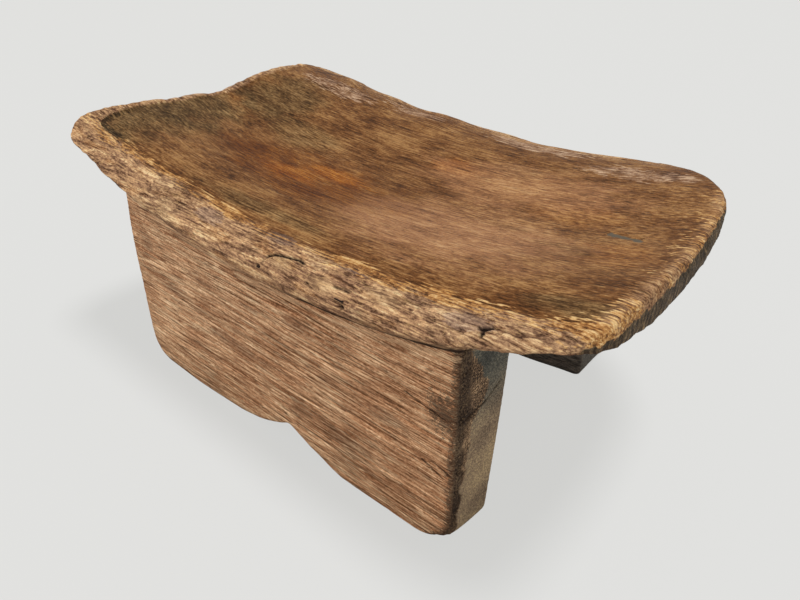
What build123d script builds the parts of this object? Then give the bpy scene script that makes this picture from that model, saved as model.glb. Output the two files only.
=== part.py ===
"""A low slab stool: a dished, cradle-shaped seat housed and nailed onto two lengthwise slab legs.

Frame: millimetres, +Z up, +X along the seat's length, the front leg on the -Y side.
The origin is on the floor, under the middle of the seat.
"""

import os
from math import cos, radians, sin, sqrt, tan

from build123d import *

os.makedirs("parts", exist_ok=True)

# ---------------------------------------------------------------- driving dimensions

# Seat, seen from above. The long edges run along X.
seat_length = 622
seat_depth = 372
front_left_radius = 36
front_right_radius = 46
back_right_radius = 94
back_left_radius = 40
left_hollow = 15  # the left end is worn hollow by this much
right_bow = 9  # the front right corner stands in from the right end
right_bow_place = 55  # the right end reaches furthest this far in front of the middle
front_bow = 9  # the front edge bows out by this much
left_flare = 4  # the front left corner stands out from the left end, before its rounding
left_skew = 17  # the back left corner stands in from the left end
right_skew = 31  # the back right corner stands in from the right end
back_skew = 10  # the back edge comes forward by this much at the right

# Seat, seen from the front.
seat_height = 265  # floor to the rim's crest at the raised ends
seat_dip = 33  # the crest is this much lower at mid-length
rim_thickness = 39  # crest to underside, at mid-length
underside_radius = 850
underside_slope = 14.5  # degrees, where the underside runs out to the ends

# Seat, cut across.
crest_inset = 31  # the rim's crest lies this far in from the long edges
front_crest_fall = 11  # the top falls this much from the crest to the edge
rear_crest_fall = 6
fall_growth = 3  # one more inset past the edge, the fall would be this many times as much
dish_depth = 13  # crest to the bottom of the dish, at mid-length
end_dish_depth = 4  # the same at the ends
rim_rounding = 10
lower_bevel_rise = 11  # the long edges rise this much from a leg's face to the seat's edge
section_count = 7  # cross-sections from end to end

# Legs: two slabs on edge. Left and right are measured along X from the middle.
front_leg_left = 216
front_leg_right = 219
rear_leg_left = 190
rear_leg_right = 190
leg_setback = 12.5  # outer face of a leg, in from the seat's long edge
leg_thickness = 67  # under the seat
foot_thickness = 60  # at the floor
arch_left = 62  # where the arch notch leaves the floor, left of the middle
arch_right = 88
arch_peak = 20  # the notch's peak, right of the middle
arch_height = 30
arch_rounding = 16
left_foot_radius = 22
front_right_foot_radius = 44
rear_right_foot_radius = 14
left_end_lean = 6  # a leg's left end leans in this much from the floor to the seat's crest
arris_rounding = 5

# Joints between the legs and the seat.
housing_depth = 7
housing_clearance = 0.2

# Nails: forged, square, driven at a slant through the rim into the top of a leg.
nail_length = 82
nail_thickness = 5
nail_point = 2
nail_head_length = 9
nail_head_width = 7
nail_head_thickness = 2.5
nail_clearance = 0.1
pit_radius = 6.5  # each head lies at the bottom of a round pit
nail_slant = 56  # degrees below level
end_nail_lean = 42  # degrees, the nail past a leg's right end leans back towards it
nail_rise = 22  # nail head above the underside
nail_inset = 5  # nail head in from the seat's long edge
end_nail_rise = 14.5  # the same for the nail past a leg's right end
end_nail_inset = 11
left_nail_inset = 99  # in from a leg's left end
inner_left_nail = 22  # right of the middle
inner_right_nail = 114
right_nail_overreach = 10  # out from a leg's right end

# ---------------------------------------------------------------- values that follow

half_length = seat_length / 2
half_depth = seat_depth / 2
crest_height = seat_height - seat_dip  # at mid-length
crest_radius = (half_length**2 + seat_dip**2) / (2 * seat_dip)
underside_height = crest_height - rim_thickness
slope = radians(underside_slope)
leg_face = half_depth - leg_setback
FRONT, REAR = -1, 1


def crest_at(x):
    """Height of the rim's crest at a distance x from the middle."""
    return crest_height + crest_radius - sqrt(crest_radius**2 - x**2)


def underside_at(x):
    """Height of the seat's underside at a distance x from the middle."""
    reach = min(abs(x), underside_radius * sin(slope))
    arc = underside_radius - sqrt(underside_radius**2 - reach**2)
    return underside_height + arc + (abs(x) - reach) * tan(slope)


def edge_at(x, side):
    """Distance from the middle out to the seat's long edge."""
    if side == FRONT:
        return half_depth
    return half_depth - back_skew * (x + half_length) / seat_length


def space_below(lift, y=0):
    """The space under the seat in elevation, with its curved upper edge lifted."""
    reach = seat_length
    lowest = underside_height + lift - underside_radius * (1 / cos(slope) - 1)
    wing = lowest + reach * tan(slope)
    with BuildSketch(Plane.XZ.offset(-y)) as space:
        with BuildLine():
            FilletPolyline((-reach, wing), (0, lowest), (reach, wing), radius=underside_radius)
            Polyline((-reach, wing), (-reach, -seat_height), (reach, -seat_height), (reach, wing))
        make_face()
    return space.sketch


def leg_elevation(left, right, right_foot_radius):
    """A leg seen from the front: a slab with an arch notch and rounded feet."""
    with BuildSketch(Plane.XZ) as elevation:
        with BuildLine():
            Polyline((-arch_left, 0), (-left, 0), (left_end_lean - left, seat_height))
            Polyline((left_end_lean - left, seat_height), (right, seat_height), (right, 0), (arch_right, 0))
            TangentArc((arch_right, 0), (arch_peak, arch_height), tangent=(-1, 0))
            TangentArc((-arch_left, 0), (arch_peak, arch_height), tangent=(1, 0))
        make_face()
        roundings = [
            ((-left, 0, 0), left_foot_radius),
            ((right, 0, 0), right_foot_radius),
            ((arch_peak, 0, arch_height), arch_rounding),
        ]
        for corner, radius in roundings:
            fillet(elevation.vertices().sort_by_distance(corner)[0], radius)
        add(space_below(housing_depth), mode=Mode.INTERSECT)
    return elevation.sketch


def leg_section(side):
    """A leg cut across: upright outside, leaning inside, and upright again in its housing."""
    outside = side * leg_face
    with BuildSketch(Plane.YZ) as section:
        with BuildLine():
            Polyline(
                (outside, 0),
                (outside - side * foot_thickness, 0),
                (outside - side * leg_thickness, underside_height),
                (outside - side * leg_thickness, seat_height),
                (outside, seat_height),
                close=True,
            )
        make_face()
    return section.sketch


def housing(left, right, side):
    """The stopped housing in the seat's underside that takes the top of a leg."""
    width = left + right + 2 * housing_clearance
    breadth = leg_thickness + 2 * housing_clearance
    middle = side * (leg_face - leg_thickness / 2)
    with BuildPart() as pocket:
        with BuildSketch(Plane.XZ.offset(-middle)):
            with Locations(((right - left) / 2, 0)):
                Rectangle(width, 2 * seat_height)
            add(space_below(housing_depth, middle), mode=Mode.INTERSECT)
        extrude(amount=breadth / 2, both=True)
    return pocket.part


def nail_plane(x, inset, rise, lean, side):
    """The plane under a nail's head, facing back along the nail."""
    down = radians(nail_slant)
    across = tan(radians(lean)) * sin(down)
    way = Vector(-across, -side * cos(down), -sin(down))
    head = (x, side * (edge_at(x, side) - inset), underside_at(x) + rise)
    return Plane(origin=head, x_dir=(1, 0, 0), z_dir=-way)


def nail_planes(left, right, side):
    """The four nails of a leg, from left to right."""
    spots = (left_nail_inset - left, inner_left_nail, inner_right_nail)
    planes = [nail_plane(x, nail_inset, nail_rise, 0, side) for x in spots]
    end_spot = right + right_nail_overreach
    planes.append(nail_plane(end_spot, end_nail_inset, end_nail_rise, end_nail_lean, side))
    return planes


def shank(place, clearance):
    """A nail's tapering square shank, or with a clearance the hole that takes it."""
    with BuildPart() as taper:
        with BuildSketch(place):
            Rectangle(nail_thickness + 2 * clearance, nail_thickness + 2 * clearance)
        with BuildSketch(place.offset(-nail_length - clearance)):
            Rectangle(nail_point + 2 * clearance, nail_point + 2 * clearance)
        loft()
    return taper.part


def nail(place):
    """A forged nail: a flat head on a tapering shank."""
    with BuildPart() as whole:
        add(shank(place, 0))
        with BuildSketch(place):
            Rectangle(nail_head_length, nail_head_width)
        extrude(amount=nail_head_thickness)
    return whole.part


def nail_hole(place):
    """The hole that takes a nail, with a round pit from the rim's surface down to the head."""
    with BuildPart() as hole:
        add(shank(place, nail_clearance))
        with BuildSketch(place):
            Circle(pit_radius)
        extrude(amount=rim_thickness)
    return hole.part


front_nail_planes = nail_planes(front_leg_left, front_leg_right, FRONT)
rear_nail_planes = nail_planes(rear_leg_left, rear_leg_right, REAR)
front_nail_holes = [nail_hole(place) for place in front_nail_planes]
rear_nail_holes = [nail_hole(place) for place in rear_nail_planes]
housings = [
    housing(front_leg_left, front_leg_right, FRONT),
    housing(rear_leg_left, rear_leg_right, REAR),
]

# ---------------------------------------------------------------- seat

front_left = (-half_length - left_flare, -half_depth + front_bow)
front_right = (half_length - right_bow, -half_depth + front_bow / 2)
back_right = (half_length - right_skew, half_depth - back_skew)
back_left = (-half_length + left_skew, half_depth)
plan_corners = [
    (front_left, front_left_radius),
    (front_right, front_right_radius),
    (back_right, back_right_radius),
    (back_left, back_left_radius),
]
section_spacing = seat_length / (section_count - 1)
stations = [section_spacing * number - half_length for number in range(section_count)]
section_floor = underside_height / 2  # the sections reach below the underside

with BuildPart() as seat:
    for station in stations:
        crest = crest_at(station)
        hollowing = 1 - (station / half_length) ** 2
        dish = crest - end_dish_depth - (dish_depth - end_dish_depth) * hollowing
        with BuildSketch(Plane.YZ.offset(station)):
            with BuildLine():
                Spline(
                    (-half_depth - crest_inset, crest - fall_growth * front_crest_fall),
                    (-half_depth, crest - front_crest_fall),
                    (-half_depth + crest_inset, crest),
                    (0, dish),
                    (half_depth - crest_inset, crest),
                    (half_depth, crest - rear_crest_fall),
                    (half_depth + crest_inset, crest - fall_growth * rear_crest_fall),
                )
                Polyline(
                    (half_depth + crest_inset, crest - fall_growth * rear_crest_fall),
                    (half_depth + crest_inset, section_floor),
                    (-half_depth - crest_inset, section_floor),
                    (-half_depth - crest_inset, crest - fall_growth * front_crest_fall),
                )
            make_face()
    loft()
    with BuildSketch() as seat_plan:
        with BuildLine():
            ThreePointArc(front_left, (0, -half_depth), front_right)
            ThreePointArc(front_right, (half_length, -right_bow_place), back_right)
            Line(back_right, back_left)
            ThreePointArc(back_left, (left_hollow - half_length, 0), front_left)
        make_face()
        for corner, radius in plan_corners:
            fillet(seat_plan.vertices().sort_by_distance((*corner, 0))[0], radius)
    extrude(amount=seat_height * 2, mode=Mode.INTERSECT)
    extrude(space_below(0), amount=seat_depth, both=True, mode=Mode.SUBTRACT)
    top = seat.faces().sort_by(SortBy.AREA)[-1]
    fillet(top.edges(), rim_rounding)
    for side in (FRONT, REAR):
        way_out = (0, side, lower_bevel_rise / leg_setback)
        extrude(space_below(0, side * leg_face), amount=seat_depth, dir=way_out, mode=Mode.SUBTRACT)
    for pocket in housings:
        add(pocket, mode=Mode.SUBTRACT)
    for hole in front_nail_holes + rear_nail_holes:
        add(hole, mode=Mode.SUBTRACT)
seat.part.label = "seat"
export_step(seat.part, "parts/seat.step")

# ---------------------------------------------------------------- legs

with BuildPart() as front_leg:
    extrude(leg_section(FRONT), amount=seat_length, both=True)
    extrude(
        leg_elevation(front_leg_left, front_leg_right, front_right_foot_radius),
        amount=seat_depth,
        both=True,
        mode=Mode.INTERSECT,
    )
    fillet(front_leg.edges().filter_by(Axis.Z), arris_rounding)
    for hole in front_nail_holes:
        add(hole, mode=Mode.SUBTRACT)
front_leg.part.label = "front_leg"
export_step(front_leg.part, "parts/front_leg.step")

with BuildPart() as rear_leg:
    extrude(leg_section(REAR), amount=seat_length, both=True)
    extrude(
        leg_elevation(rear_leg_left, rear_leg_right, rear_right_foot_radius),
        amount=seat_depth,
        both=True,
        mode=Mode.INTERSECT,
    )
    fillet(rear_leg.edges().filter_by(Axis.Z), arris_rounding)
    for hole in rear_nail_holes:
        add(hole, mode=Mode.SUBTRACT)
rear_leg.part.label = "rear_leg"
export_step(rear_leg.part, "parts/rear_leg.step")

# ---------------------------------------------------------------- nails

with BuildPart() as front_leg_nails:
    for place in front_nail_planes:
        add(nail(place))
front_leg_nails.part.label = "front_leg_nails"
export_step(front_leg_nails.part, "parts/front_leg_nails.step")

with BuildPart() as rear_leg_nails:
    for place in rear_nail_planes:
        add(nail(place))
rear_leg_nails.part.label = "rear_leg_nails"
export_step(rear_leg_nails.part, "parts/rear_leg_nails.step")
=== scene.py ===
# %% [markdown]
# # A low slab stool in worn hardwood
# Three thick slabs make this stool: a cradle-shaped seat and two legs on edge under it, housed and nailed.
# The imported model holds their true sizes, so this lesson only gives each slab its skin. It weaves a fine
# net of points over the form, carves the net as weather, sitting and an adze carved the wood, and stains it.

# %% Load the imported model
from itertools import product
from math import radians

import bpy
import numpy as np
from mathutils import Matrix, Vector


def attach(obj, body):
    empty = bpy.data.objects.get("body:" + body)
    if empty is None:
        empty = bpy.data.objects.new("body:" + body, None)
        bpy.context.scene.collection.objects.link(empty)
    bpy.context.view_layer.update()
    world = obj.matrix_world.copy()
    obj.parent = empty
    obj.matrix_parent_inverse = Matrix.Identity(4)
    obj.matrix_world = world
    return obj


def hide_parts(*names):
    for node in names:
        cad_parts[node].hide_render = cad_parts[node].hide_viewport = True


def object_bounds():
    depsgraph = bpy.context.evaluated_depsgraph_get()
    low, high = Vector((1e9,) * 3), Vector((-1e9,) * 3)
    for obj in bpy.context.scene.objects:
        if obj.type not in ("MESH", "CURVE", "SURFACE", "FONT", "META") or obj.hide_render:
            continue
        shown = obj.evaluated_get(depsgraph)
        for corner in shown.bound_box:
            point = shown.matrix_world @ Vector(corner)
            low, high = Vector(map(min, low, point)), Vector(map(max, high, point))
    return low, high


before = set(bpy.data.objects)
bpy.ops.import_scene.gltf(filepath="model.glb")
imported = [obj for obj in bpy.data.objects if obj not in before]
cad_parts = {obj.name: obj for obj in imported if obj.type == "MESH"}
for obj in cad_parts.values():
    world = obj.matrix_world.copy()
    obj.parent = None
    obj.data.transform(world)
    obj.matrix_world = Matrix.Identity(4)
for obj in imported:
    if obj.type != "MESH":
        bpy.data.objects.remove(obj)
cad_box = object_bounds()
mm = 0.001
print("nodes:", sorted(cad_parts))

# %% [markdown]
# ## Random values that never change
# Wood is irregular, but the stool has to come out the same each time. So the chance in it comes from a sum
# over whole numbers, not from a random generator: each cell of a lattice gets its own fixed value, and the
# values in between are blended smoothly. A cell that is long along X and thin across gives grain.

# %% Mottle and smooth steps
strides = (374761393, 668265263, 1440662683)


def lattice_value(mixed):
    """A fixed value from 0 to 1 for each cell, from the cell's own number."""
    mixed = mixed & 0xFFFFFFFF
    mixed = ((mixed ^ (mixed >> 13)) * 1274126177) & 0xFFFFFFFF
    return ((mixed ^ (mixed >> 16)) & 0xFFFF) / 0xFFFF


def mottle(points, size, seed, octaves=1):
    """Smooth values from about -1 to 1, in blobs of the given size along X, Y and Z."""
    place = points / np.array(size)
    total, weight, reach = 0.0, 1.0, 0.0
    for octave in range(octaves):
        base = np.floor(place)
        part = place - base
        part = part * part * (3 - 2 * part)
        cells = [base[:, axis].astype(np.int64) * stride for axis, stride in enumerate(strides)]
        value = (seed + octave) * 1013904223
        corners = 0.0
        for steps in product((0, 1), repeat=3):
            number = value
            share = 1.0
            for axis, step in enumerate(steps):
                number = number + cells[axis] + step * strides[axis]
                share = share * (part[:, axis] if step else 1 - part[:, axis])
            corners = corners + share * lattice_value(number)
        total = total + weight * (2 * corners - 1)
        reach += weight
        weight *= 0.5
        place = place * 2 + 17.3
    return total / reach


def smooth_step(value, low, high):
    """0 below low, 1 above high, and a smooth rise between them."""
    part = np.clip((value - low) / (high - low), 0, 1)
    return part * part * (3 - 2 * part)


def rise(place, start, full):
    """The same smooth rise between two places in millimetres."""
    return smooth_step(place, start * mm, full * mm)


def spot(across, along, centre, reach):
    """1 at a centre, falling smoothly to 0 at an oval whose half sizes are reach."""
    away = np.hypot((across - centre[0]) / reach[0], (along - centre[1]) / reach[1])
    return 1 - smooth_step(away, 0, 1)


def hump(place, centre, reach):
    """1 at a centre in millimetres, falling smoothly to 0 at its reach."""
    return 1 - smooth_step(np.abs(place / mm - centre), 0, reach)


# %% [markdown]
# ## A net with a rounded outline
# A slab has two broad faces and a band round its edge. A square net of points makes each face: it is laid
# on a rectangle, and the corners are pulled in to their round form. The rows of the net stay parallel to the
# grain, so that long narrow ridges can follow it, which a net of even triangles couldn't do.

# %% Nets for slabs
def rounded_grid(u, v, half_x, half_y, radii, inset):
    """Places the square net u, v (-1 to 1) on a rectangle with its own radius at each corner."""
    x, y = u * (half_x - inset), v * (half_y - inset)
    for (side_x, side_y), radius in radii.items():
        away_x = side_x * x - (half_x - radius)
        away_y = side_y * y - (half_y - radius)
        in_corner = (away_x > 0) & (away_y > 0)
        shrink = np.maximum(away_x, away_y) / np.maximum(np.hypot(away_x, away_y), 1e-9)
        x = np.where(in_corner, side_x * (half_x - radius + away_x * shrink), x)
        y = np.where(in_corner, side_y * (half_y - radius + away_y * shrink), y)
    return x, y


def edge_distance(x, y, half_x, half_y, radii):
    """How far a place lies inside the rounded rectangle's edge."""
    distance = np.minimum(half_x - np.abs(x), half_y - np.abs(y))
    for (side_x, side_y), radius in radii.items():
        away_x = side_x * x - (half_x - radius)
        away_y = side_y * y - (half_y - radius)
        in_corner = (away_x > 0) & (away_y > 0)
        distance = np.where(in_corner, radius - np.hypot(away_x, away_y), distance)
    return distance


def net_faces(columns, rows, band_rows):
    """The four-sided faces of a closed slab: near face, edge band and far face."""
    index = np.arange((columns + 1) * (rows + 1)).reshape(columns + 1, rows + 1)
    near = np.stack([index[:-1, :-1], index[1:, :-1], index[1:, 1:], index[:-1, 1:]], -1).reshape(-1, 4)
    ring = np.concatenate([index[:-1, 0], index[-1, :-1], index[:0:-1, -1], index[0, :0:-1]])
    count, start = len(ring), index.size
    loops = [ring] + [start + row * count + np.arange(count) for row in range(band_rows)]
    loops.append(start + band_rows * count + ring)
    band = []
    for upper, lower in zip(loops[:-1], loops[1:]):
        band.append(np.stack([upper, lower, np.roll(lower, -1), np.roll(upper, -1)], -1))
    far = near[:, ::-1] + start + band_rows * count
    return np.concatenate([near, *band, far]), ring


def net_axes(columns, rows):
    """The net's own coordinates, from -1 to 1, one pair for each point."""
    u, v = np.meshgrid(np.linspace(-1, 1, columns + 1), np.linspace(-1, 1, rows + 1), indexing="ij")
    return u.ravel(), v.ravel()


def make_object(name, points, faces):
    """A mesh object from arrays of points and four-sided faces."""
    mesh = bpy.data.meshes.new(name)
    mesh.vertices.add(len(points))
    mesh.vertices.foreach_set("co", points.astype(np.float32).ravel())
    mesh.loops.add(faces.size)
    mesh.loops.foreach_set("vertex_index", faces.astype(np.int32).ravel())
    mesh.polygons.add(len(faces))
    mesh.polygons.foreach_set("loop_start", np.arange(0, faces.size, 4, dtype=np.int32))
    mesh.update(calc_edges=True)
    mesh.validate()
    mesh.shade_smooth()
    made = bpy.data.objects.new(name, mesh)
    bpy.context.scene.collection.objects.link(made)
    return made


def outward(made):
    """The directions that the mesh's points face."""
    normals = np.empty(len(made.data.vertices) * 3, np.float32)
    made.data.vertex_normals.foreach_get("vector", normals)
    return normals.reshape(-1, 3).astype(float)


def keep_values(made, **values_by_name):
    """Stores one value per point under each name, for the finish to read."""
    for name, values in values_by_name.items():
        made.data.attributes.new(name, "FLOAT", "POINT")
        made.data.attributes[name].data.foreach_set("value", np.clip(values, 0, 1).astype(np.float32))
    print(made.name, "keeps", *values_by_name)


def thin_out(made, first, share):
    """Leaves fewer faces from the first point on, where nobody looks closely, so the rest may be fine."""
    group = made.vertex_groups.new(name="plain")
    group.add(list(range(first, len(made.data.vertices))), 1.0, "REPLACE")
    thinner = made.modifiers.new("thinner", "DECIMATE")
    thinner.ratio = share
    thinner.vertex_group = group.name
    thinner.vertex_group_factor = 1.0


# %% [markdown]
# ## The seat's form
# The seat is a plank hollowed from end to end like a cradle, with a shallow dish across it. Its rim rolls
# over at the long edges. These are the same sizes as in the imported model, so the skin lies on its solid.

# %% Sizes of the seat
half_length = 311 * mm
half_depth = 186 * mm
seat_height = 265 * mm
seat_dip = 33 * mm
rim_thickness = 39 * mm
crest_height = seat_height - seat_dip
crest_radius = (half_length**2 + seat_dip**2) / (2 * seat_dip)
underside_height = crest_height - rim_thickness
underside_radius = 850 * mm
underside_slope = radians(14.5)
leg_face = 173.5 * mm
housing_depth = 7 * mm
rim_rounding = 10 * mm
seat_corners = {(-1, -1): 36 * mm, (1, -1): 46 * mm, (1, 1): 94 * mm, (-1, 1): 40 * mm}


def crest_at(x):
    """Height of the rim's crest along the seat."""
    return crest_height + crest_radius - np.sqrt(crest_radius**2 - x**2)


def underside_at(x):
    """Height of the seat's underside along the seat: an arc that runs out straight."""
    reach = np.minimum(np.abs(x), underside_radius * np.sin(underside_slope))
    arc = underside_radius - np.sqrt(underside_radius**2 - reach**2)
    return underside_height + arc + (np.abs(x) - reach) * np.tan(underside_slope)


def through(x, places, heights):
    """A smooth curve through a few heights, straight in curvature at its two ends."""
    gaps = np.diff(places)
    count = len(places)
    system, pull = np.eye(count), np.zeros(count)
    for i in range(1, count - 1):
        system[i, i - 1 : i + 2] = gaps[i - 1], 2 * (gaps[i - 1] + gaps[i]), gaps[i]
        rise = (heights[i + 1] - heights[i]) / gaps[i] - (heights[i] - heights[i - 1]) / gaps[i - 1]
        pull[i] = 6 * rise
    bend = np.linalg.solve(system, pull)
    k = np.clip(np.searchsorted(places, x) - 1, 0, count - 2)
    places, heights = np.array(places), np.array(heights)
    left, right, gap = x - places[k], places[k + 1] - x, gaps[k]
    curve = (bend[k] * right**3 + bend[k + 1] * left**3) / (6 * gap)
    curve += (heights[k] / gap - bend[k] * gap / 6) * right
    return curve + (heights[k + 1] / gap - bend[k + 1] * gap / 6) * left


crest_inset = 31 * mm
knots = np.array([-half_depth - crest_inset, -half_depth, -half_depth + crest_inset, 0])
knots = np.concatenate([knots, -knots[2::-1]])
edge_fall = np.array([33, 11, 0, 0, 0, 6, 18]) * mm
dish_form = np.array([0, 0, 0, 1, 0, 0, 0])
dish_depth = 13 * mm
end_dish_depth = 4 * mm


def seat_top(x, y):
    """Height of the seat's upper side before wear."""
    depth = end_dish_depth + (dish_depth - end_dish_depth) * (1 - (x / half_length) ** 2)
    return crest_at(x) - through(y, knots, edge_fall) - depth * through(y, knots, dish_form)


bevel_slope = 11 / 12.5


def seat_bottom(x, y):
    """Height of the seat's underside, with its long edges bevelled up from the legs' faces."""
    return underside_at(x) + bevel_slope * np.maximum(np.abs(y) - leg_face, 0)


print("crest bent to a radius of", round(crest_radius, 2), "m")

# %% [markdown]
# ## The seat's outline
# Seen from above, the plank is no rectangle: its left end is worn hollow, its right end bows out, and the
# back corner on the right is cut far round. Each side is bent by a simple curve through three places.

# %% Bend the outline
def bow(places, shifts):
    """A parabola that shifts an edge by the given amounts at three places."""
    return np.poly1d(np.polyfit(np.array(places) * mm, np.array(shifts) * mm, 2))


left_bend = bow((-177, 0, 186), (-4, 15, 17))
right_bend = bow((-181, -55, 176), (-9, 0, -31))
front_bend = bow((-315, 0, 302), (9, 0, 4.5))
back_bend = bow((-294, 0, 280), (0, -5, -10))
back_wave_places = np.array([-294, -205, -132, -75, 5, 52, 66, 112, 143, 160, 200, 262]) * mm
back_wave_shifts = np.array([-1, 2.5, -0.5, 3.5, 5, 2.5, -3, -1, -5, -1, 1.5, 0]) * mm


def seat_plan(u, v, inset):
    """Where the net lies in plan, how far inside the outline, and where on the plain rectangle."""
    flat_x, flat_y = rounded_grid(u, v, half_length, half_depth, seat_corners, inset)
    distance = edge_distance(flat_x, flat_y, half_length, half_depth, seat_corners)
    to_right = (flat_x / half_length + 1) / 2
    to_back = (flat_y / half_depth + 1) / 2
    x = flat_x + (1 - to_right) * left_bend(flat_y) + to_right * right_bend(flat_y)
    y = flat_y + (1 - to_back) * front_bend(flat_x) + to_back * back_bend(flat_x)
    near = np.exp(-distance / (14 * mm))
    wave = through(x, back_wave_places, back_wave_shifts)
    y = y + wave * near * rise(flat_y, 90, 160)
    at_left = near * rise(-flat_x, 230, 290)
    lip = 3 * hump(y, 0, 70) + 4 * hump(y, -120, 80) + 9 * hump(y, -178, 58)
    chips = 4 * hump(y, -52, 13) + 3 * hump(y, 24, 14) + 2 * hump(y, 2, 8)
    x = x + (lip + chips) * mm * at_left
    pulled_in = 8 * hump(x, 266, 52) * rise(-flat_y, 120, 165)
    y = y + pulled_in * mm * near
    cut_back = 4.5 * hump(y, 128, 45) * rise(flat_x, 200, 260)
    x = x - cut_back * mm * near
    return x, y, distance, flat_x, flat_y


print("right end's back corner cut back by", round(-right_bend(half_depth) / mm), "mm")

# %% [markdown]
# ## Worn places of the seat's form
# The left end is worn down in its middle, the overhang on the right is thinner than the rest, and the front
# left corner is undercut. They are small, so they are skin on the plain solid.

# %% Lips, lifts and undercuts
def left_lip_drop(x, y):
    """How much lower the worn lip of the left end lies."""
    across = hump(y, -5, 60)
    raised = hump(y, 90, 60) + hump(y, -14, 28) + 0.4 * hump(y, 25, 15)
    return (1.8 * across - 3 * raised + 2 * hump(y, -100, 70)) * mm * rise(-x, 245, 300)


def back_rise(x, y):
    """How much higher the back rim stands on its left half."""
    rises = 4 * hump(x, -210, 55) + 3.5 * hump(x, -140, 55) + 4 * hump(x, -50, 65) + 1.5 * hump(x, 15, 45)
    return (rises - hump(x, -295, 35)) * mm * rise(y, 95, 170)


def overhang_lift(x, y):
    """How much higher the underside lies beyond the legs."""
    front = 1 - rise(y, -172, -130)
    right = np.clip((x / mm - 214) / 56, 0, 1) * (1 - 0.4 * rise(x, 272, 295))
    under_leg = hump(x, 150, 80) * front
    left_corner = rise(-x, 215, 262) * front
    right_end = rise(x, 250, 300) * rise(y, -125, -80)
    right_corner = spot(x, y, (300 * mm, -150 * mm), (40 * mm, 36 * mm))
    return (12 * right * front + 9 * left_corner - 6 * right_end + 3.5 * right_corner - 2 * under_leg) * mm


def undercut_at(x, y):
    """How far the side of the seat draws in towards its foot."""
    at_right = rise(x, 250, 295)
    return (1.2 - 0.8 * at_right + 14 * spot(x, y, (-300 * mm, -178 * mm), (110 * mm, 80 * mm))) * mm


def squareness(x):
    """2 where the rim is rounded like a circle, more where it breaks off in a hard arris."""
    return 2 + 0.8 * rise(x, 255, 300) + 1.2 * rise(-x, 262, 290)


# %% [markdown]
# ## Weaving the seat
# The skin is laid in one net: the top, rows that roll over the rim, rows down the side and under the bevel,
# and the underside. The net is closed, so no seam shows, and its points crowd towards the worn edges.

# %% Weave the seat
seat_columns, seat_rows = 330, 160
rounding_steps, side_steps, bevel_steps = 11, 14, 8
underside_inset = 16 * mm


def crowd(places, amount):
    """Draws evenly spread places from -1 to 1 closer together towards both ends."""
    return places + amount * np.sin(np.pi * places) / np.pi


def weave_seat():
    """The seat's points, what each knows of its place, the faces, and how many points one side has."""
    u, v = net_axes(seat_columns, seat_rows)
    u, v = crowd(u, 0.15), crowd(v, 0.45)
    faces, ring = net_faces(seat_columns, seat_rows, rounding_steps + side_steps + bevel_steps)
    ring_u, ring_v = u[ring], v[ring]
    edge_x, edge_y, *_ = seat_plan(ring_u, ring_v, 0)
    power = 2 / squareness(edge_x)
    undercut = undercut_at(edge_x, edge_y)
    layers, notes = [], []

    def lay(u, v, inset, height):
        x, y, distance, flat_x, flat_y = seat_plan(u, v, inset)
        layers.append(np.stack([x, y, height(x, y)], -1))
        notes.append(np.stack([distance, flat_x, flat_y], -1))

    def top(x, y):
        return seat_top(x, y) - left_lip_drop(x, y) + back_rise(x, y)

    def bottom(x, y):
        return seat_bottom(x, y) + overhang_lift(x, y)

    def low(x, y):
        return np.minimum(bottom(x, y), edge_high - 1 * mm)

    room = top(edge_x, edge_y) - bottom(edge_x, edge_y)
    roll = np.clip(0.75 * room, 2 * mm, rim_rounding * (1 + 0.6 * rise(edge_x, 265, 298)))

    lay(u, v, rim_rounding, top)
    for step in range(1, rounding_steps + 1):
        turn = radians(90) * step / rounding_steps
        inset = rim_rounding * (1 - np.sin(turn) ** power)
        drop = roll * (1 - max(np.cos(turn), 0) ** power)
        lay(ring_u, ring_v, inset, lambda x, y: top(x, y) - drop)
    edge_high = top(edge_x, edge_y) - roll
    for step in range(1, side_steps + 1):
        part = step / side_steps
        lay(ring_u, ring_v, undercut * part**2, lambda x, y: edge_high * (1 - part) + low(x, y) * part)
    for step in range(1, bevel_steps + 1):
        inset = undercut + (underside_inset - undercut) * step / (bevel_steps + 1)
        lay(ring_u, ring_v, inset, low)
    lay(u, v, underside_inset, bottom)
    return np.concatenate(layers), np.concatenate(notes), faces, u.size


seat_points, seat_notes, seat_faces, seat_top_count = weave_seat()
seat = make_object("worn_seat", seat_points, seat_faces)
print("seat net:", len(seat_faces), "faces")

# %% [markdown]
# ## The legs' form
# A leg is a slab on edge with an arch notch in its foot. It is woven like the seat, but its net stands
# upright: the near face is the outer one, and the net's lower rows follow the notch and the rounded feet.

# %% Sizes of the legs
arch_left, arch_right = 62 * mm, 91 * mm
arch_peak, arch_height = 20 * mm, 30 * mm
arch_softness = 3.5 * mm
arch_wear = 6 * mm
leg_thickness = 68.5 * mm
arris_rounding = 5 * mm
tongue_height = 0.9 * housing_depth
left_lean = 11.1 * mm
left_hollow = 2 * mm
left_head = 4 * mm
net_height = 220 * mm


def notch(x):
    """Height of a leg's lower edge above the floor: two arcs that meet in a soft peak."""
    sides = []
    for run_out, way in ((-arch_left, 1), (arch_right, -1)):
        span = way * (arch_peak - run_out)
        radius = (span**2 + arch_height**2) / (2 * arch_height)
        along = np.clip(way * (x - run_out), 0, radius * 0.999)
        sides.append(radius - np.sqrt(radius**2 - along**2))
    soft = np.exp(-sides[0] / arch_softness) + np.exp(-sides[1] / arch_softness)
    lift = arch_wear * np.sin(np.pi * np.clip((arch_right - x) / (arch_right - arch_peak), 0, 1))
    lift = lift + 0.3 * arch_wear * np.sin(np.pi * np.clip((x + arch_left) / (arch_left + arch_peak), 0, 1))
    return np.maximum(-arch_softness * np.log(soft), 0) + lift


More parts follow.
